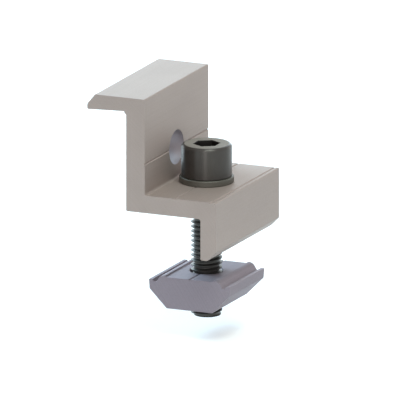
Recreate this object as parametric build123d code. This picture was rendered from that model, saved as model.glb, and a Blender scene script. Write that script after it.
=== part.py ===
from build123d import *
from math import cos, radians, tan
import os

# Solar end clamp for the edge of a framed module, standing on a slotted rail.
# Frame: the origin is on the screw's axis in the plane of the clamp's foot, where the rail's top lies.
# +Z points up out of the rail, +Y runs along the extrusion, -X points at the module. Millimetres.

# Bracket: one length of a Z-shaped extrusion
clamp_length = 40.0
web_thickness = 5.2
shelf_thickness = 4.6
leg_thickness = 4.2
leg_drop = 10.8
foot_chamfer = 2.3
screw_to_web = 8.4
screw_to_leg = 7.15
edge_radius = 0.35
root_radius = 0.6

# Flange that hooks over the module's frame
grip_height = 36.6
flange_reach = 10.85
flange_thickness = 3.6
flange_rise = 0.45
nose_height = 1.4
nose_slope_width = 2.15
bead_width = 0.5
bead_drop = 0.9

# Marking grooves, V-shaped at 90 degrees, that the extrusion carries as drill lines
groove_depth = 0.28
groove_angle = 90.0
web_line_height = 8.15
edge_line_inset = 1.25

# Holes in the bracket
screw_hole_play = 0.5
web_hole_diameter = 8.9
hole_chamfer = 0.08

# Cap screw M8
thread_diameter = 8.0
thread_pitch = 1.25
head_diameter = 13.0
head_height = 8.4
head_edge_radius = 0.8
head_foot_radius = 0.3
hex_across_flats = 6.0
hex_depth = 4.4
hex_turn = 32.0
hex_countersink = 0.15
drill_point_angle = 120.0
neck_radius = 0.25
screw_length = 36.6
end_chamfer_share = 0.6

# Split lock washer, pressed flat
washer_outer_diameter = 14.0
washer_play = 0.3
washer_thickness = 1.6
washer_edge_radius = 0.25
split_gap = 1.1
split_lean = 25.0
split_direction = 120.0

# Rail nut: a length of a channel-nut extrusion, tapped for the screw
nut_length = 21.7
nut_drop = 7.65
nut_height = 8.55
nut_half_width = 11.3
nut_draft = 0.2
nut_bottom_half_width = 6.35
nut_side_height = 2.5
lip_width = 1.0
lip_below_top = 1.25
lip_slope = 0.45
channel_below_top = 1.85
channel_width = 0.65
shoulder_slope = 1.15
shoulder_radius = 1.8
recess_half_width = 6.4
recess_depth = 0.35
recess_slope = 0.4
tap_clearance = 0.05
tap_countersink = 0.45

# Places that follow from the sizes
web_inner_x = -screw_to_web
web_outer_x = web_inner_x - web_thickness
leg_inner_x = screw_to_leg
leg_outer_x = leg_inner_x + leg_thickness
nose_x = web_outer_x - flange_reach
shelf_top_z = leg_drop + shelf_thickness
flange_root_z = grip_height + flange_rise
flange_top_z = flange_root_z + flange_thickness
web_line_z = shelf_top_z + web_line_height
washer_top_z = shelf_top_z + washer_thickness
head_top_z = washer_top_z + head_height
screw_end_z = washer_top_z - screw_length
screw_radius = thread_diameter / 2
thread_depth = 0.6134 * thread_pitch
end_chamfer = end_chamfer_share * thread_depth
nut_top_z = -nut_drop
nut_bottom_z = nut_top_z - nut_height
recess_z = nut_top_z - recess_depth


def rounded_bar(points, radii, length):
    """A bar along Y, centred on Y = 0, whose XZ outline has one radius for each corner."""
    with BuildPart() as bar:
        with BuildSketch(Plane.XZ):
            with BuildLine():
                FilletPolyline(*points, radius=radii, close=True)
            make_face()
        extrude(amount=length / 2, both=True)
    return bar.part


def marking_groove(x, z, length):
    """A square bar standing on its edge: it cuts a V of groove_depth into any face through (x, z)."""
    half_width = groove_depth * tan(radians(groove_angle / 2))
    with BuildPart() as bar:
        with BuildSketch(Plane.XZ):
            with Locations((x, z)):
                Polygon(
                    (half_width, 0),
                    (0, groove_depth),
                    (-half_width, 0),
                    (0, -groove_depth),
                    align=None,
                )
        extrude(amount=length, both=True)
    return bar.part


def chamfered_bore(radius, length, chamfer_size):
    """A round cutter along +Z from the origin that also breaks the edge at both of its ends."""
    overrun = chamfer_size
    with BuildPart() as cutter:
        with BuildSketch(Plane.XZ):
            with BuildLine():
                Polyline(
                    (0, -overrun),
                    (radius + chamfer_size + overrun, -overrun),
                    (radius + chamfer_size, 0),
                    (radius, chamfer_size),
                    (radius, length - chamfer_size),
                    (radius + chamfer_size, length),
                    (radius + chamfer_size + overrun, length + overrun),
                    (0, length + overrun),
                    close=True,
                )
            make_face()
        revolve(axis=Axis.Z)
    return cutter.part


def bracket_outline():
    """Corners of the Z section, with the radius of each, going round from the foot's inner corner."""
    return [
        ((leg_inner_x, 0), edge_radius),
        ((leg_outer_x - foot_chamfer, 0), edge_radius),
        ((leg_outer_x, foot_chamfer), edge_radius),
        ((leg_outer_x, shelf_top_z), edge_radius),
        ((web_inner_x, shelf_top_z), root_radius),
        ((web_inner_x, flange_top_z), edge_radius),
        ((nose_x + nose_slope_width, flange_top_z), edge_radius),
        ((nose_x, grip_height + nose_height), edge_radius),
        ((nose_x, grip_height), edge_radius),
        ((web_outer_x - bead_width, flange_root_z), bead_width / 2),
        ((web_outer_x - bead_width, flange_root_z - bead_drop + bead_width), bead_width / 4),
        ((web_outer_x, flange_root_z - bead_drop), bead_width / 4),
        ((web_outer_x, leg_drop), edge_radius),
        ((leg_inner_x, leg_drop), root_radius),
    ]


def make_bracket():
    """The extruded bracket, with its drill lines, the screw's hole and the hole through the web."""
    corners = bracket_outline()
    bracket = rounded_bar([c[0] for c in corners], [c[1] for c in corners], clamp_length)
    bracket -= marking_groove(web_inner_x, web_line_z, clamp_length)
    bracket -= marking_groove(0, shelf_top_z, clamp_length)
    bracket -= marking_groove(leg_outer_x - edge_line_inset, shelf_top_z, clamp_length)
    screw_hole = chamfered_bore(screw_radius + screw_hole_play, shelf_thickness, hole_chamfer)
    bracket -= Pos(0, 0, leg_drop) * screw_hole
    web_hole = chamfered_bore(web_hole_diameter / 2, web_thickness, hole_chamfer)
    bracket -= Pos(web_outer_x, 0, web_line_z) * Rot(0, 90, 0) * web_hole
    return bracket


def make_screw():
    """The cap screw: a turned blank with a rounded head edge, a neck radius and a hexagon socket."""
    head_radius = head_diameter / 2
    with BuildPart() as screw:
        with BuildSketch(Plane.XZ):
            with BuildLine():
                FilletPolyline(
                    (0, screw_end_z),
                    (screw_radius - end_chamfer, screw_end_z),
                    (screw_radius, screw_end_z + end_chamfer),
                    (screw_radius, washer_top_z),
                    (head_radius, washer_top_z),
                    (head_radius, head_top_z),
                    (0, head_top_z),
                    radius=[0, 0, 0, neck_radius, head_foot_radius, head_edge_radius, 0],
                    close=True,
                )
            make_face()
        revolve(axis=Axis.Z)
        with BuildSketch(Plane.XY.offset(head_top_z)):
            RegularPolygon(hex_across_flats / 2, 6, major_radius=False, rotation=hex_turn)
        extrude(amount=-hex_depth, mode=Mode.SUBTRACT)
    corner_radius = hex_across_flats / 2 / cos(radians(30))
    point_depth = hex_across_flats / 2 / tan(radians(drill_point_angle / 2))
    drill_point = Cone(0, hex_across_flats / 2, point_depth, align=(Align.CENTER, Align.CENTER, Align.MIN))
    entry = Cone(
        corner_radius - hex_countersink,
        corner_radius + hex_countersink,
        2 * hex_countersink,
        align=(Align.CENTER, Align.CENTER, Align.CENTER),
    )
    blank = screw.part
    blank -= Pos(0, 0, head_top_z - hex_depth - point_depth) * drill_point
    blank -= Pos(0, 0, head_top_z) * entry
    return blank


def make_washer():
    """The split lock washer under the head: a flat ring with rolled edges, cut through at a slant."""
    inner_radius = screw_radius + washer_play
    outer_radius = washer_outer_diameter / 2
    with BuildPart() as ring:
        with BuildSketch(Plane.XZ):
            with BuildLine():
                FilletPolyline(
                    (inner_radius, shelf_top_z),
                    (outer_radius, shelf_top_z),
                    (outer_radius, washer_top_z),
                    (inner_radius, washer_top_z),
                    radius=washer_edge_radius,
                    close=True,
                )
            make_face()
        revolve(axis=Axis.Z)
    middle = Pos(0, 0, shelf_top_z + washer_thickness / 2)
    width = split_gap * cos(radians(split_lean))
    saw = Pos(outer_radius, 0, 0) * Box(2 * outer_radius, width, 4 * washer_thickness)
    slanted = Rot(0, 0, split_direction) * Rot(split_lean, 0, 0) * saw
    return ring.part - middle * slanted


def nut_outline():
    """Corners of the right half of the nut's section, from its recessed top round to its bottom."""
    channel_outer_x = nut_half_width - lip_width - lip_slope
    channel_inner_x = channel_outer_x - channel_width
    side_x = nut_half_width - nut_draft
    side_bottom_z = nut_top_z - lip_below_top - nut_side_height
    return [
        ((recess_half_width, recess_z), edge_radius),
        ((recess_half_width + recess_slope, nut_top_z), edge_radius / 2),
        ((channel_inner_x - shoulder_slope, nut_top_z), shoulder_radius),
        ((channel_inner_x, nut_top_z - channel_below_top), edge_radius / 2),
        ((channel_outer_x, nut_top_z - channel_below_top), edge_radius / 2),
        ((nut_half_width - lip_width, nut_top_z - lip_below_top), edge_radius / 2),
        ((nut_half_width, nut_top_z - lip_below_top), edge_radius / 2),
        ((side_x, side_bottom_z), edge_radius),
        ((nut_bottom_half_width, nut_bottom_z), edge_radius),
    ]


def make_rail_nut():
    """The rail nut: its grooved section, the tapped hole and the V line along the middle of its top."""
    right = nut_outline()
    left = [((-x, z), r) for (x, z), r in reversed(right)]
    corners = right + left
    nut = rounded_bar([c[0] for c in corners], [c[1] for c in corners], nut_length)
    nut -= marking_groove(0, recess_z, nut_length)
    tapped = chamfered_bore(screw_radius + tap_clearance, recess_z - nut_bottom_z, tap_countersink)
    return nut - Pos(0, 0, nut_bottom_z) * tapped


pieces = {
    "clamp_bracket": make_bracket(),
    "cap_screw": make_screw(),
    "spring_washer": make_washer(),
    "rail_nut": make_rail_nut(),
}
os.makedirs("parts", exist_ok=True)
for name, piece in pieces.items():
    piece.label = name
    export_step(piece, f"parts/{name}.step")
    print(name, round(piece.volume, 1), "mm3")
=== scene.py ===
# %% [markdown]
# # A solar end clamp
# The clamp is a short length of extruded aluminium that hooks over the edge of a framed module. A cap screw
# with a split lock washer draws it down onto a rail, and a grooved nut holds it in the rail's slot. The
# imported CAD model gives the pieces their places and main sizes. It is loaded first and never moved.

# %% Load the frame
from math import atan2, cos, hypot, pi, radians, sin, tan

import bmesh
import bpy
from mathutils import Matrix, Vector


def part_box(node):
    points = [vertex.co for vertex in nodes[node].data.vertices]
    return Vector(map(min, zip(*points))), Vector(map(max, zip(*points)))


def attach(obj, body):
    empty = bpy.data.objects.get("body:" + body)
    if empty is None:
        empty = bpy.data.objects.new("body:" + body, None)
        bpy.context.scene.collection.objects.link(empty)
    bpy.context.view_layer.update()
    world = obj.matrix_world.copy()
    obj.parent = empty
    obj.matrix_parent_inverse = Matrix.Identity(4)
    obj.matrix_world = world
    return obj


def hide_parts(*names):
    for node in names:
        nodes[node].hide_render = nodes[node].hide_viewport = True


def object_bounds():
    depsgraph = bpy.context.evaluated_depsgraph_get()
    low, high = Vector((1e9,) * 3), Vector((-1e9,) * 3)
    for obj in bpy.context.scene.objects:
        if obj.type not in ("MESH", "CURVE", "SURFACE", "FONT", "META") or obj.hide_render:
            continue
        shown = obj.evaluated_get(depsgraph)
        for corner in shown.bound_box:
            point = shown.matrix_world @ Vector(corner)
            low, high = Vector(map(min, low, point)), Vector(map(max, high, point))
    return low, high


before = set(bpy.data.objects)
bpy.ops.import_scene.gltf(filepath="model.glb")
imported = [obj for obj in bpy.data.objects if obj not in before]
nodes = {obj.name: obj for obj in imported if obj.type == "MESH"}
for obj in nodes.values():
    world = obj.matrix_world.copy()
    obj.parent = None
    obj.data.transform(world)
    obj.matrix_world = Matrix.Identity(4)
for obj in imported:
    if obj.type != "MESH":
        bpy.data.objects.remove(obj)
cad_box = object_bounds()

MM = 0.001
print("nodes:", sorted(nodes))

# %% [markdown]
# ## Helpers
# Colours are written as they are seen on a screen, as sRGB hex values, and one function turns them to the
# linear numbers that a shader works with.


# %% Colour
def colour(hex_value):
    """Turns an sRGB hex colour such as "#A49C97" into a linear RGBA value."""
    channels = [int(hex_value[i:i + 2], 16) / 255 for i in (1, 3, 5)]
    linear = [c / 12.92 if c <= 0.04045 else ((c + 0.055) / 1.055) ** 2.4 for c in channels]
    return (*linear, 1.0)


print("white is", colour("#FFFFFF"))

# %% [markdown]
# Nodes can be placed by hand in the editor, or made in code. One small function adds a node, fills its
# sockets and links it, so that each material below reads from top to bottom as one recipe. A metal needs only
# one shader, the Principled BSDF, so a second function starts every metal with it.


# %% Nodes
def add(tree, kind, values=None, links=None, **settings):
    """Adds a node. Settings are its own options, values fill its sockets, and links join outputs to them."""
    made = tree.nodes.new("ShaderNode" + kind)
    for name, value in settings.items():
        setattr(made, name, value)
    for socket, value in (values or {}).items():
        made.inputs[socket].default_value = value
    for socket, source in (links or {}).items():
        tree.links.new(source, made.inputs[socket])
    return made


def metal(name, base, metallic, roughness):
    """Starts a metal: a material whose only shader is a Principled BSDF."""
    material = bpy.data.materials.new(name)
    material.use_nodes = True
    tree = material.node_tree
    tree.nodes.clear()
    look = {"Base Color": colour(base), "Metallic": metallic, "Roughness": roughness}
    shader = add(tree, "BsdfPrincipled", look)
    add(tree, "OutputMaterial", links={"Surface": shader.outputs["BSDF"]})
    return material


print("helpers:", add.__name__, "and", metal.__name__)

# %% [markdown]
# ## Patterns in millimetres
# Object coordinates are in metres, so a Mapping node first turns them to cycles: a pattern that repeats
# every s millimetres along an axis has 1000 / s cycles in a metre. A long spacing on one axis and a short one
# on the others pulls a noise out into lines, which is how the die's lines are drawn. A noise seldom leaves
# its middle values, so those from 0.3 to 0.7 are stretched over the range that a pattern needs.

# %% A noise with its grain size in millimetres
NOISE_MIDDLE = {"From Min": 0.3, "From Max": 0.7}


def grain(tree, spacing_mm, detail, low=0.0, high=1.0):
    """A noise with features of spacing_mm along X, Y and Z, whose middle values span low to high."""
    place = add(tree, "TexCoord").outputs["Object"]
    cycles = [1 / (s * MM) for s in spacing_mm]
    mapped = add(tree, "Mapping", {"Scale": cycles}, {"Vector": place})
    noise = add(tree, "TexNoise", {"Scale": 1.0, "Detail": detail}, {"Vector": mapped.outputs["Vector"]})
    span = {**NOISE_MIDDLE, "To Min": low, "To Max": high}
    return add(tree, "MapRange", span, {"Value": noise.outputs["Fac"]}).outputs["Result"]


print("a noise is stretched from", *NOISE_MIDDLE.values())

# %% [markdown]
# ## Extruded aluminium
# The bracket and the nut are cut from extruded bars. The die leaves faint straight lines along the bar,
# which is the Y axis here, and the saw leaves fine arcs across its cut ends. Both could be painted on, but
# then each piece would need its own drawing. A recipe that works from the place and direction of a surface
# serves both pieces. A cut end is told by its direction, because it faces along Y. Its arcs are rings about
# the middle of a saw blade that stood far to one side of the bar and below it.

# %% Cut ends and saw arcs
END_FACING = 0.9
SAW_LINE_SPACING = 0.35
SAW_RADIUS = 175.0
SAW_DIRECTION = Vector((-0.8, 0.0, -0.6))


def cut_end_mask(tree):
    """1 on the sawn ends, which face along Y, and 0 on the faces that the die shaped."""
    facing = add(tree, "SeparateXYZ", links={"Vector": add(tree, "TexCoord").outputs["Normal"]})
    along = add(tree, "Math", links={0: facing.outputs["Y"]}, operation="ABSOLUTE")
    end = add(tree, "Math", {1: END_FACING}, {0: along.outputs["Value"]}, operation="GREATER_THAN")
    return end.outputs["Value"]


def saw_marks(tree):
    """Fine arcs about the middle of the saw blade."""
    blade_centre = SAW_DIRECTION.normalized() * SAW_RADIUS * MM
    place = add(tree, "TexCoord").outputs["Object"]
    flat = add(tree, "VectorMath", {1: (1.0, 0.0, 1.0)}, {0: place}, operation="MULTIPLY")
    reach = add(tree, "VectorMath", {1: blade_centre}, {0: flat.outputs["Vector"]}, operation="DISTANCE")
    lines = add(tree, "TexNoise", {"Scale": 1 / (SAW_LINE_SPACING * MM), "Detail": 3.0},
                {"W": reach.outputs["Value"]}, noise_dimensions="1D")
    return add(tree, "MapRange", NOISE_MIDDLE, {"Value": lines.outputs["Fac"]}).outputs["Result"]


print("saw arcs", SAW_LINE_SPACING, "mm apart, about a point", SAW_RADIUS, "mm away")

# %% [markdown]
# The lines show in two ways: they shade the colour by a few hundredths, and they stand out as relief. A
# finer grain in the skin varies its gloss and adds to the relief, and a large soft cloudiness keeps wide
# faces from looking painted. The real lines are a few hundredths to a tenth of a millimetre apart, too fine
# to show here, so they are drawn about 0.4 mm apart. The metal itself is fully metallic, but its etched or
# oxidised skin scatters light almost as evenly as paint does, so Metallic is matched at a half.

# %% A finish for extruded bars
DIE_LINE = (0.45, 60.0, 0.45)
SKIN_GRAIN = (0.35, 0.5, 0.35)
CLOUD = (9.0, 14.0, 9.0)
CLOUD_SHADE = 0.025
SKIN_SHARE = 0.6
OXIDE_METALLIC = 0.5
GLOSS_SPREAD = 0.05
RELIEF_DEPTH = 0.01 * MM


def extruded_aluminium(name, base, roughness, line_strength, line_shade):
    """A satin metal with die lines along Y, saw arcs on its ends and a soft cloudiness all over."""
    material = metal(name, base, OXIDE_METALLIC, roughness)
    tree = material.node_tree
    shader = tree.nodes["Principled BSDF"]
    sources = {"Factor": cut_end_mask(tree), "A": grain(tree, DIE_LINE, 3.0), "B": saw_marks(tree)}
    lines = add(tree, "Mix", links=sources).outputs["Result"]
    skin = grain(tree, SKIN_GRAIN, 4.0)
    line_level = add(tree, "MapRange", {"To Min": 1 - line_shade, "To Max": 1 + line_shade}, {"Value": lines})
    cloud = grain(tree, CLOUD, 2.0, 1 - CLOUD_SHADE, 1 + CLOUD_SHADE)
    shade = add(tree, "Math", links={0: line_level.outputs["Result"], 1: cloud}, operation="MULTIPLY")
    tinted = add(tree, "VectorMath", {0: colour(base)[:3]}, {1: shade.outputs["Value"]}, operation="MULTIPLY")
    tree.links.new(tinted.outputs["Vector"], shader.inputs["Base Color"])
    gloss_span = {"To Min": roughness - GLOSS_SPREAD, "To Max": roughness + GLOSS_SPREAD}
    gloss = add(tree, "MapRange", gloss_span, {"Value": skin})
    tree.links.new(gloss.outputs["Result"], shader.inputs["Roughness"])
    relief = add(tree, "Math", {1: SKIN_SHARE}, {0: skin, 2: lines}, operation="MULTIPLY_ADD")
    bump = add(tree, "Bump", {"Strength": line_strength, "Distance": RELIEF_DEPTH},
               {"Height": relief.outputs["Value"]})
    tree.links.new(bump.outputs["Normal"], shader.inputs["Normal"])
    return material


print("die lines", DIE_LINE[0], "mm apart, skin grain", SKIN_GRAIN[0], "mm wide")

# %% [markdown]
# The bracket is natural anodised aluminium, etched first: a warm light grey, evenly matte. The nut is left as
# extruded, with no anodising, so it is a shade darker and bluer, and its die lines are plainer.

# %% Bracket and nut
anodised = extruded_aluminium(
    "anodised aluminium, etched satin", "#A0928C", roughness=0.6, line_strength=0.25, line_shade=0.02)
mill_finish = extruded_aluminium(
    "mill-finish aluminium, as extruded", "#8B8189", roughness=0.65, line_strength=0.35, line_shade=0.035)
nodes["clamp_bracket"].material_slots[0].material = anodised
nodes["rail_nut"].material_slots[0].material = mill_finish
print("bracket:", anodised.name, "- nut:", mill_finish.name)

# %% [markdown]
# The bracket's holes were drilled after it was anodised, so their walls are bare metal, cooler in colour
# and smoother than the skin. The walls could have a material slot of their own, but the CAD piece has one
# slot and its mesh stays as it is. So a wall is found by its distance from the hole's axis, and the two looks
# are mixed. The sockets of a Mix node for colours go by number: 0 is the factor, 6 and 7 are the two colours,
# and output 2 is the result.

# %% Bare walls of the drilled holes
WALL_REACH = 4.53 * MM
WALL_ROUGHNESS = 0.48
WEB_HOLE_Z = 23.55 * MM


def near_axis(tree, centre, across):
    """1 within WALL_REACH of an axis through centre. Across is 0 along the axis and 1 along the others."""
    place = add(tree, "TexCoord").outputs["Object"]
    from_centre = add(tree, "VectorMath", {1: centre}, {0: place}, operation="SUBTRACT")
    flat = add(tree, "VectorMath", {1: across}, {0: from_centre.outputs["Vector"]}, operation="MULTIPLY")
    reach = add(tree, "VectorMath", links={0: flat.outputs["Vector"]}, operation="LENGTH")
    near = add(tree, "Math", {1: WALL_REACH}, {0: reach.outputs["Value"]}, operation="LESS_THAN")
    return near.outputs["Value"]


tree = anodised.node_tree
shader = tree.nodes["Principled BSDF"]
web_hole = near_axis(tree, (0, 0, WEB_HOLE_Z), (0, 1, 1))
screw_hole = near_axis(tree, (0, 0, 0), (1, 1, 0))
wall = add(tree, "Math", links={0: web_hole, 1: screw_hole}, operation="MAXIMUM").outputs["Value"]
skin_colour = shader.inputs["Base Color"].links[0].from_socket
skin_gloss = shader.inputs["Roughness"].links[0].from_socket
both_colours = add(tree, "Mix", {7: colour("#958A8D")}, {0: wall, 6: skin_colour}, data_type="RGBA")
both_glosses = add(tree, "Mix", {"B": WALL_ROUGHNESS}, {"Factor": wall, "A": skin_gloss})
tree.links.new(both_colours.outputs[2], shader.inputs["Base Color"])
tree.links.new(both_glosses.outputs["Result"], shader.inputs["Roughness"])
print("bare walls within", WALL_REACH / MM, "mm of two axes")

# %% [markdown]
# ## Stainless steel
# The screw and the washer are stainless steel, and each was made in its own way, which is what tells their
# surfaces apart. What they share is a fine relief of rings, because each was shaped about one axis. The Z
# axis is the screw's own axis, so the rings follow the distance from it. A turning tool moves on about 0.1 mm
# in a turn. That is too fine to show, so the rings are drawn 0.25 to 0.5 mm wide. Bare steel is fully
# metallic, but these parts carry the thin dull film that rolling, forging and oil leave. That film scatters
# part of the light, so Metallic is matched at 0.6.

# %% Rings about the screw's axis
STEEL_METALLIC = 0.6


def turned_rings(tree, spacing_mm):
    """A noise that varies with the distance from the axis and with height, and so runs round in rings."""
    place = add(tree, "TexCoord").outputs["Object"]
    flat = add(tree, "VectorMath", {1: (1.0, 1.0, 0.0)}, {0: place}, operation="MULTIPLY")
    from_axis = add(tree, "VectorMath", links={0: flat.outputs["Vector"]}, operation="LENGTH")
    height = add(tree, "SeparateXYZ", links={"Vector": place})
    section = add(tree, "CombineXYZ", links={"X": from_axis.outputs["Value"], "Z": height.outputs["Z"]})
    rings = add(tree, "TexNoise", {"Scale": 1 / (spacing_mm * MM), "Detail": 3.0},
                {"Vector": section.outputs["Vector"]})
    return rings.outputs["Fac"]


print("steel is", STEEL_METALLIC, "metallic")

# %% [markdown]
# One recipe then serves every steel surface. To the rings it adds a slight cloudiness in the colour and a
# fine unevenness in the gloss, which the film leaves.

# %% A finish for steel
STEEL_CLOUD = (4.0, 4.0, 4.0)
STEEL_CLOUD_SHADE = 0.05
STEEL_GRAIN = (0.3, 0.3, 0.3)


def stainless_steel(name, base, metallic, roughness, ring_spacing_mm, ring_strength):
    """A steel with rings in its relief, a slight cloudiness and a fine unevenness in its gloss."""
    material = metal(name, base, metallic, roughness)
    tree = material.node_tree
    shader = tree.nodes["Principled BSDF"]
    cloud = grain(tree, STEEL_CLOUD, 2.0, 1 - STEEL_CLOUD_SHADE, 1 + STEEL_CLOUD_SHADE)
    tinted = add(tree, "VectorMath", {0: colour(base)[:3]}, {1: cloud}, operation="MULTIPLY")
    tree.links.new(tinted.outputs["Vector"], shader.inputs["Base Color"])
    gloss = grain(tree, STEEL_GRAIN, 3.0, roughness - GLOSS_SPREAD, roughness + GLOSS_SPREAD)
    tree.links.new(gloss, shader.inputs["Roughness"])
    bump = add(tree, "Bump", {"Strength": ring_strength, "Distance": RELIEF_DEPTH},
               {"Height": turned_rings(tree, ring_spacing_mm)})
    tree.links.new(bump.outputs["Normal"], shader.inputs["Normal"])
    return material


print("steel grain", STEEL_GRAIN[0], "mm, cloudiness", STEEL_CLOUD[0], "mm")

# %% [markdown]
# The washer is tumbled, so it is evenly dull. The thread is rolled, which leaves smooth crests and dark
# roots. The socket is painted nearly black: painted shade that stands in for the shade deep inside it. The
# top of the head is blasted, so rough that hardly any of its light is a mirror's, and its Metallic is low for
# that. Its paler grey is partly painted light, which makes the top brighter than the side.

# %% Washer, thread, socket and top of the head
washer_steel = stainless_steel("spring steel, tumbled", "#57544D", 0.4, 0.48,
                               ring_spacing_mm=0.5, ring_strength=0.15)
rolled_steel = stainless_steel("stainless steel, thread-rolled", "#474542", STEEL_METALLIC, 0.4,
                               ring_spacing_mm=0.25, ring_strength=0.2)
# The socket's near-black colour is painted shade that stands for its depth.
socket_shade_steel = stainless_steel("stainless steel, socket with painted shade", "#2A2624", STEEL_METALLIC, 0.45,
                               ring_spacing_mm=0.4, ring_strength=0.2)
# The top's paler colour is partly a blasted finish and partly painted light.
blasted_top_painted_light = stainless_steel("stainless steel, blasted, top painted paler as light", "#837D77", 0.1, 0.65,
                              ring_spacing_mm=0.25, ring_strength=0.3)
nodes["spring_washer"].material_slots[0].material = washer_steel
print("washer:", washer_steel.name)

# %% [markdown]
# The side of the head is brushed by fine turning marks that run round it. Such marks smear a reflection along
# the axis. Marks fine enough to do that are far too fine for relief, so the shader does it by itself: the
# socket "Anisotropic", with a tangent that runs round Z and a quarter turn of rotation.

# %% Side of the head
turned_steel = stainless_steel("stainless steel, turned", "#45413E", STEEL_METALLIC, 0.4,
                               ring_spacing_mm=0.25, ring_strength=0.3)
tree = turned_steel.node_tree
shader = tree.nodes["Principled BSDF"]
shader.inputs["Anisotropic"].default_value = 0.8
shader.inputs["Anisotropic Rotation"].default_value = 0.25
around = add(tree, "Tangent", direction_type="RADIAL", axis="Z")
tree.links.new(around.outputs["Tangent"], shader.inputs["Tangent"])
SCREW_FINISHES = [turned_steel, blasted_top_painted_light, socket_shade_steel, rolled_steel]
print("screw:", [m.name for m in SCREW_FINISHES])

# %% [markdown]
# ## The cap screw's sizes
# The CAD screw has a plain shank. On the real one the thread is what catches the eye, so a new piece stands
# for it here. Its head and length are measured from the CAD node, and the rest are the standard sizes of an
# M8 cap screw: a pitch of 1.25 mm, and a socket for a 6 mm key.

# %% Sizes of the screw
low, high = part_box("cap_screw")
HEAD_RADIUS = high.x
HEAD_TOP = high.z
HEAD_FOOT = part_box("spring_washer")[1].z
SCREW_END = low.z
HEAD_EDGE = 0.8 * MM
HEAD_FOOT_EDGE = 0.3 * MM
CREST_RADIUS = 4.0 * MM
PITCH = 1.25 * MM
THREAD_DEPTH = 0.6134 * PITCH
END_CHAMFER = 0.6 * THREAD_DEPTH
KEY_WIDTH = 6.0 * MM
SOCKET_DEPTH = 4.4 * MM
SOCKET_CHAMFER = 0.1 * MM
SOCKET_TURN = radians(32)
DRILL_POINT = radians(120)
DRILL_SHARE = 0.98
print("head", round(HEAD_TOP / MM - HEAD_FOOT / MM, 2), "mm high")
print("screw ends at", round(SCREW_END / MM, 2), "mm")

# %% [markdown]
# ## The head
# The head could be a profile spun round the axis, but then its top would be a fan of thin triangles. A
# cylinder has one whole face on top, which the socket needs, and its rims can be rounded with a bevel, as a
# lathe would round them. The number of sides, 96, is a multiple of six, so that the socket's six corners can
# each fall on a vertex.

# %% Head as a bevelled cylinder
HEAD_SIDES = 96
SAME_HEIGHT = 0.0001 * MM


def rim(bm, z):
    """The edges that lie flat at a height."""
    return [e for e in bm.edges if all(abs(v.co.z - z) < SAME_HEIGHT for v in e.verts)]


def rounded(bm, z, radius, segments):
    """Rounds the rim at a height."""
    bmesh.ops.bevel(bm, geom=rim(bm, z), offset=radius, offset_type="OFFSET", segments=segments,
                    profile=0.5, affect="EDGES", material=-1)


head = bmesh.new()
middle = Matrix.Translation((0, 0, (HEAD_TOP + HEAD_FOOT) / 2)) @ Matrix.Rotation(SOCKET_TURN, 4, "Z")
bmesh.ops.create_cone(head, cap_ends=True, segments=HEAD_SIDES, radius1=HEAD_RADIUS, radius2=HEAD_RADIUS,
                      depth=HEAD_TOP - HEAD_FOOT, matrix=middle)
rounded(head, HEAD_TOP, HEAD_EDGE, 8)
rounded(head, HEAD_FOOT, HEAD_FOOT_EDGE, 4)
print("head:", len(head.faces), "faces")

# %% [markdown]
# ## The socket
# A hexagon could be cut out with a boolean, but that leaves long thin faces round it. Insets keep the head's
# own rows of faces. The top face is inset four times. The first ring is a hexagon a little larger than the
# key. The second is the key's own hexagon, a little lower, which leaves the small chamfer that breaks the
# socket's edge. The third goes straight down to make the walls. The fourth is the rim of the round hollow
# that a drill leaves, and its middle is pushed down to the drill's point.

# %% Socket from insets of the top face
FIRST_INSET = 0.05 * MM


def inset_top(bm, face, shape):
    """Insets a face by a little, then lets shape() put each vertex of the new face in its place."""
    bmesh.ops.inset_individual(bm, faces=[face], thickness=FIRST_INSET, use_even_offset=True)
    for v in face.verts:
        v.co = shape(v.co)


def on_circle(point, radius, z):
    """The point on a circle about the Z axis, in the direction of a given point."""
    turn = atan2(point.y, point.x)
    return Vector((radius * cos(turn), radius * sin(turn), z))


def on_hexagon(point, width, z):
    """The point on a hexagon of a width across its flats, in the direction of a given point."""
    turn = atan2(point.y, point.x)
    from_flat = (turn - SOCKET_TURN) % (pi / 3) - pi / 6
    return on_circle(point, width / 2 / cos(from_flat), z)


top_face = max(head.faces, key=lambda f: f.calc_center_median().z)
floor_z = HEAD_TOP - SOCKET_DEPTH
inset_top(head, top_face, lambda p: on_hexagon(p, KEY_WIDTH + 2 * SOCKET_CHAMFER, HEAD_TOP))
inset_top(head, top_face, lambda p: on_hexagon(p, KEY_WIDTH, HEAD_TOP - SOCKET_CHAMFER))
inset_top(head, top_face, lambda p: on_hexagon(p, KEY_WIDTH, floor_z))
inset_top(head, top_face, lambda p: on_circle(p, DRILL_SHARE * KEY_WIDTH / 2, floor_z))
poked = bmesh.ops.poke(head, faces=[top_face])
poked["verts"][0].co = Vector((0, 0, floor_z - KEY_WIDTH / 2 / tan(DRILL_POINT / 2)))
print("socket:", len(head.faces), "faces in the head so far")

# %% [markdown]
# ## The thread
# A screw thread is one small profile carried round the axis while it climbs. The spin operator does just
# that when it is given a step along the axis. The profile is one pitch tall, so a turn starts where the one
# below it ended. Its root is a quarter of the pitch wide and its crest an eighth. One turn is spun, copies of
# it are stacked a pitch apart, and merging the doubles closes the surface. A climbing spin doesn't come back
# to its start, so it is this merge that joins it, and not the spin's own use_merge. The turns run past both
# ends, so that two cuts can trim them.

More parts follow.
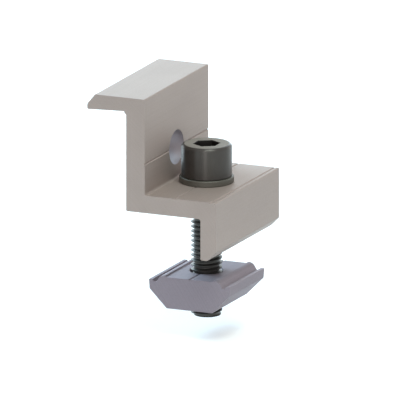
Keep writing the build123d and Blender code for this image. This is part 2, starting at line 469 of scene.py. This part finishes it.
# %% Thread as a climbing spin
TURN_STEPS = 72
THREAD_IN_HEAD = 0.5 * MM
MERGE_DISTANCE = 0.002 * MM
thread_top = HEAD_FOOT + THREAD_IN_HEAD
turns = int((thread_top - SCREW_END) / PITCH) + 3
root_radius = CREST_RADIUS - THREAD_DEPTH
flank_start, crest_start = PITCH / 8, PITCH * 7 / 16
profile = [
    (root_radius, 0.0),
    (root_radius, flank_start),
    (CREST_RADIUS, crest_start),
    (CREST_RADIUS, PITCH - crest_start),
    (root_radius, PITCH - flank_start),
    (root_radius, PITCH),
]
thread = bmesh.new()
start = [thread.verts.new((r, 0, SCREW_END - 1.5 * PITCH + z)) for r, z in profile]
outline = [thread.edges.new(pair) for pair in zip(start, start[1:])]
bmesh.ops.spin(thread, geom=start + outline, cent=(0, 0, 0), axis=(0, 0, 1), angle=2 * pi,
               steps=TURN_STEPS, dvec=(0, 0, PITCH / TURN_STEPS))
one_turn = thread.verts[:] + thread.edges[:] + thread.faces[:]
for turn in range(1, turns):
    copy = bmesh.ops.duplicate(thread, geom=one_turn)["geom"]
    climbed = [g for g in copy if isinstance(g, bmesh.types.BMVert)]
    bmesh.ops.translate(thread, verts=climbed, vec=(0, 0, turn * PITCH))
bmesh.ops.remove_doubles(thread, verts=thread.verts, dist=MERGE_DISTANCE)
print("thread:", turns, "turns,", len(thread.faces), "faces")

# %% [markdown]
# A real screw has its last crests turned down to a chamfer, so that it finds its way into the nut. Here every
# vertex that stands outside the chamfer's cone is drawn in to it. Then the two ends are cut flat and closed.


# %% Chamfer and trimmed ends
def trim(bm, z, keep_above):
    """Cuts a closed tube flat at a height, throws away one side, and closes the cut."""
    cut = bmesh.ops.bisect_plane(bm, geom=bm.verts[:] + bm.edges[:] + bm.faces[:], dist=1e-8,
                                 plane_co=(0, 0, z), plane_no=(0, 0, 1),
                                 clear_inner=keep_above, clear_outer=not keep_above)
    edges = [g for g in cut["geom_cut"] if isinstance(g, bmesh.types.BMEdge)]
    bmesh.ops.holes_fill(bm, edges=edges, sides=0)


for v in thread.verts:
    allowed = CREST_RADIUS - END_CHAMFER + max(v.co.z - SCREW_END, 0)
    radius = hypot(v.co.x, v.co.y)
    if radius > allowed:
        v.co.xy *= allowed / radius
trim(thread, SCREW_END, keep_above=True)
trim(thread, thread_top, keep_above=False)
bmesh.ops.recalc_face_normals(thread, faces=thread.faces)
print("thread after trimming:", len(thread.faces), "faces")

# %% [markdown]
# ## One screw
# A face can carry the number of a material slot. Four slots are used here instead of one material that mixes
# the finishes, because the exported model keeps "Anisotropic" only as one number for a whole material. The
# faces near the axis are the socket, and those that lie at the head's full height are its top.

# %% Finishes by face
SOCKET_REACH = 3.6 * MM
TOP_MARGIN = 0.001 * MM
# Socket faces take the steel with painted shade, and top faces the paler steel that is partly painted light.
for face in head.faces:
    middle = face.calc_center_median()
    if hypot(middle.x, middle.y) < SOCKET_REACH:
        face.material_index = SCREW_FINISHES.index(socket_shade_steel)
    elif middle.z > HEAD_TOP - TOP_MARGIN:
        face.material_index = SCREW_FINISHES.index(blasted_top_painted_light)
for face in thread.faces:
    face.material_index = SCREW_FINISHES.index(rolled_steel)
print("socket faces:", sum(f.material_index == SCREW_FINISHES.index(socket_shade_steel) for f in head.faces))

# %% [markdown]
# Then the two meshes become one object. Flat faces stay flat and round ones shade smoothly: an edge counts as
# sharp where its faces meet at more than 35 degrees. The screw turns in its own body, and it takes the place
# of the plain CAD screw.

# %% Join head and thread
SHARP = radians(35)


def to_object(name, parts, materials):
    """Joins bmeshes into one object at the origin, with smooth faces and sharp edges where they turn."""
    mesh = bpy.data.meshes.new(name)
    whole = bmesh.new()
    for part in parts:
        part.to_mesh(mesh)
        whole.from_mesh(mesh)
        part.free()
    for face in whole.faces:
        face.smooth = True
    for edge in whole.edges:
        edge.smooth = len(edge.link_faces) == 2 and edge.calc_face_angle() < SHARP
    whole.to_mesh(mesh)
    whole.free()
    for material in materials:
        mesh.materials.append(material)
    made = bpy.data.objects.new(name, mesh)
    bpy.context.scene.collection.objects.link(made)
    return made


cap_screw = to_object("threaded_cap_screw", [head, thread], SCREW_FINISHES)
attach(cap_screw, "screw")
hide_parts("cap_screw")
print("screw:", len(cap_screw.data.polygons), "faces,", [round(d / MM, 2) for d in cap_screw.dimensions])

# %% [markdown]
# ## The stage
# The photograph shows the clamp on pure white. More light would turn a floor white, but it would bleach the
# clamp too. So the floor is white paper with a little light of its own, which only the camera and reflections
# see. It keeps the clamp's soft shadow. The world does the same beyond the floor's edge.


# %% What sees the background
def background_rays(tree):
    """1 for what the camera sees itself, in a reflection or through glass, and 0 for light on a surface."""
    path = add(tree, "LightPath")
    mirrored = add(tree, "Math", operation="ADD",
                   links={0: path.outputs["Is Camera Ray"], 1: path.outputs["Is Glossy Ray"]})
    total = add(tree, "Math", operation="ADD", use_clamp=True,
                links={0: mirrored.outputs["Value"], 1: path.outputs["Is Transmission Ray"]})
    return total.outputs["Value"]


print("the background shows to camera, glossy and transmission rays")

# %% [markdown]
# The paper lies low enough for the nut to come down to the end of its travel without touching it.

# %% Floor
LIFT = 0.4
NUT_TRAVEL = 7.5 * MM
FLOOR_GAP = 0.3 * MM
FLOOR_REACH = 1.5
paper = bpy.data.materials.new("white paper, matte")
paper.use_nodes = True
tree = paper.node_tree
tree.nodes.clear()
sheet = add(tree, "BsdfDiffuse", {"Color": colour("#DCDCDC")})
lift = add(tree, "Math", {1: LIFT}, {0: background_rays(tree)}, operation="MULTIPLY")
glow = add(tree, "Emission", {"Color": colour("#FFFFFF")}, {"Strength": lift.outputs["Value"]})
both = add(tree, "AddShader", links={0: sheet.outputs["BSDF"], 1: glow.outputs["Emission"]})
add(tree, "OutputMaterial", links={"Surface": both.outputs["Shader"]})

floor_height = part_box("rail_nut")[0].z - NUT_TRAVEL - FLOOR_GAP
ground = bmesh.new()
bmesh.ops.create_grid(ground, x_segments=1, y_segments=1, size=FLOOR_REACH,
                      matrix=Matrix.Translation((0, 0, floor_height)))
floor = to_object("floor", [ground], [paper])
print("floor at", round(floor_height / MM, 2), "mm")

# %% [markdown]
# ## Light
# The light is that of a plain studio. The world lights the clamp evenly from all round, weakly enough to
# leave the shaping to the lamps, and shows itself as white.

# %% World
ROOM_STRENGTH = 0.3
WHITE_STRENGTH = 1.0
world = bpy.data.worlds.new("studio")
bpy.context.scene.world = world
world.use_nodes = True
tree = world.node_tree
tree.nodes.clear()
room = add(tree, "Background", {"Color": colour("#F4F6F8"), "Strength": ROOM_STRENGTH})
white = add(tree, "Background", {"Color": colour("#FFFFFF"), "Strength": WHITE_STRENGTH})
looks = {0: background_rays(tree), 1: room.outputs["Background"], 2: white.outputs["Background"]}
seen = add(tree, "MixShader", links=looks)
add(tree, "OutputWorld", links={"Surface": seen.outputs["Shader"]})
print("world:", ROOM_STRENGTH, "on the clamp,", WHITE_STRENGTH, "to the camera")

# %% [markdown]
# The lamps are softboxes, each placed by its direction and distance from the clamp. The strongest stands at
# the left and a little behind, and is slightly cool. It glances off the flat tops towards the camera, where
# the photograph shows them nearly white, and a wide one low behind the clamp adds to that. A lamp above, a
# little to the right, lights the shelf and the inside corner. A small one behind at the right draws the
# head's right edge, and a narrow strip in front gives the bright band down the head's side. Sizes and
# distances are in metres, and power is in watts.

# %% Lamps
LAMP_DISTANCE = 0.7
clamp_centre = (cad_box[0] + cad_box[1]) / 2


def direction(azimuth, elevation):
    """The direction from the clamp to a camera or lamp. Azimuth 0 is along -Y, in front, and 90 along +X."""
    a, e = radians(azimuth), radians(elevation)
    return Vector((sin(a) * cos(e), -cos(a) * cos(e), sin(e)))


def softbox(name, azimuth, elevation, width, height, power, tint):
    """A rectangular lamp that faces the clamp."""
    lamp = bpy.data.lights.new(name, "AREA")
    lamp.shape, lamp.size, lamp.size_y = "RECTANGLE", width, height
    lamp.energy, lamp.color = power, colour(tint)[:3]
    made = bpy.data.objects.new(name, lamp)
    bpy.context.scene.collection.objects.link(made)
    away = direction(azimuth, elevation)
    made.location = clamp_centre + away * LAMP_DISTANCE
    made.rotation_euler = away.to_track_quat("Z", "Y").to_euler()
    made.visible_camera = False


softbox("left light", 255, 36, width=0.5, height=0.4, power=7.0, tint="#C4ECFF")
softbox("top light", 50, 64, width=0.3, height=0.3, power=3.4, tint="#F0FFF8")
softbox("back light", 225, 14, width=1.2, height=0.35, power=2.8, tint="#E0F4FF")
softbox("side light", 150, 10, width=0.2, height=0.3, power=0.4, tint="#FFFFFF")
softbox("strip light", 18, 12, width=0.08, height=0.3, power=0.8, tint="#FFFFFF")

# %% [markdown]
# ## Camera
# The photograph's edges that run along one axis stay parallel, so it was taken from far off, and an
# orthographic camera matches it. Its direction and scale were fitted to corners of the clamp. One known
# point, on the screw's axis at the shelf, lies at one known pixel, and that fixes where the camera looks.

# %% Camera at the photograph's viewing angle
PHOTO_SIZE = 400
PIXELS_PER_MM = 3.9205
CAMERA_AZIMUTH, CAMERA_ELEVATION = 23.95, 14.46
CAMERA_DISTANCE = 0.5
ANCHOR_PIXEL = (206.63, 181.40)
ANCHOR_HEIGHT = 15.335 * MM

back = direction(CAMERA_AZIMUTH, CAMERA_ELEVATION)
view_turn = back.to_track_quat("Z", "Y")
right, up = view_turn @ Vector((1, 0, 0)), view_turn @ Vector((0, 1, 0))
mm_right, mm_down = [(pixel - PHOTO_SIZE / 2) / PIXELS_PER_MM for pixel in ANCHOR_PIXEL]
target = Vector((0, 0, ANCHOR_HEIGHT)) - right * mm_right * MM + up * mm_down * MM

view = bpy.data.cameras.new("camera")
view.type = "ORTHO"
view.ortho_scale = PHOTO_SIZE / PIXELS_PER_MM * MM
camera = bpy.data.objects.new("camera", view)
bpy.context.scene.collection.objects.link(camera)
camera.location = target + back * CAMERA_DISTANCE
camera.rotation_euler = view_turn.to_euler()
bpy.context.scene.camera = camera
bpy.context.scene.view_settings.view_transform = "Standard"
print("camera looks at", [round(c / MM, 2) for c in target], "mm")
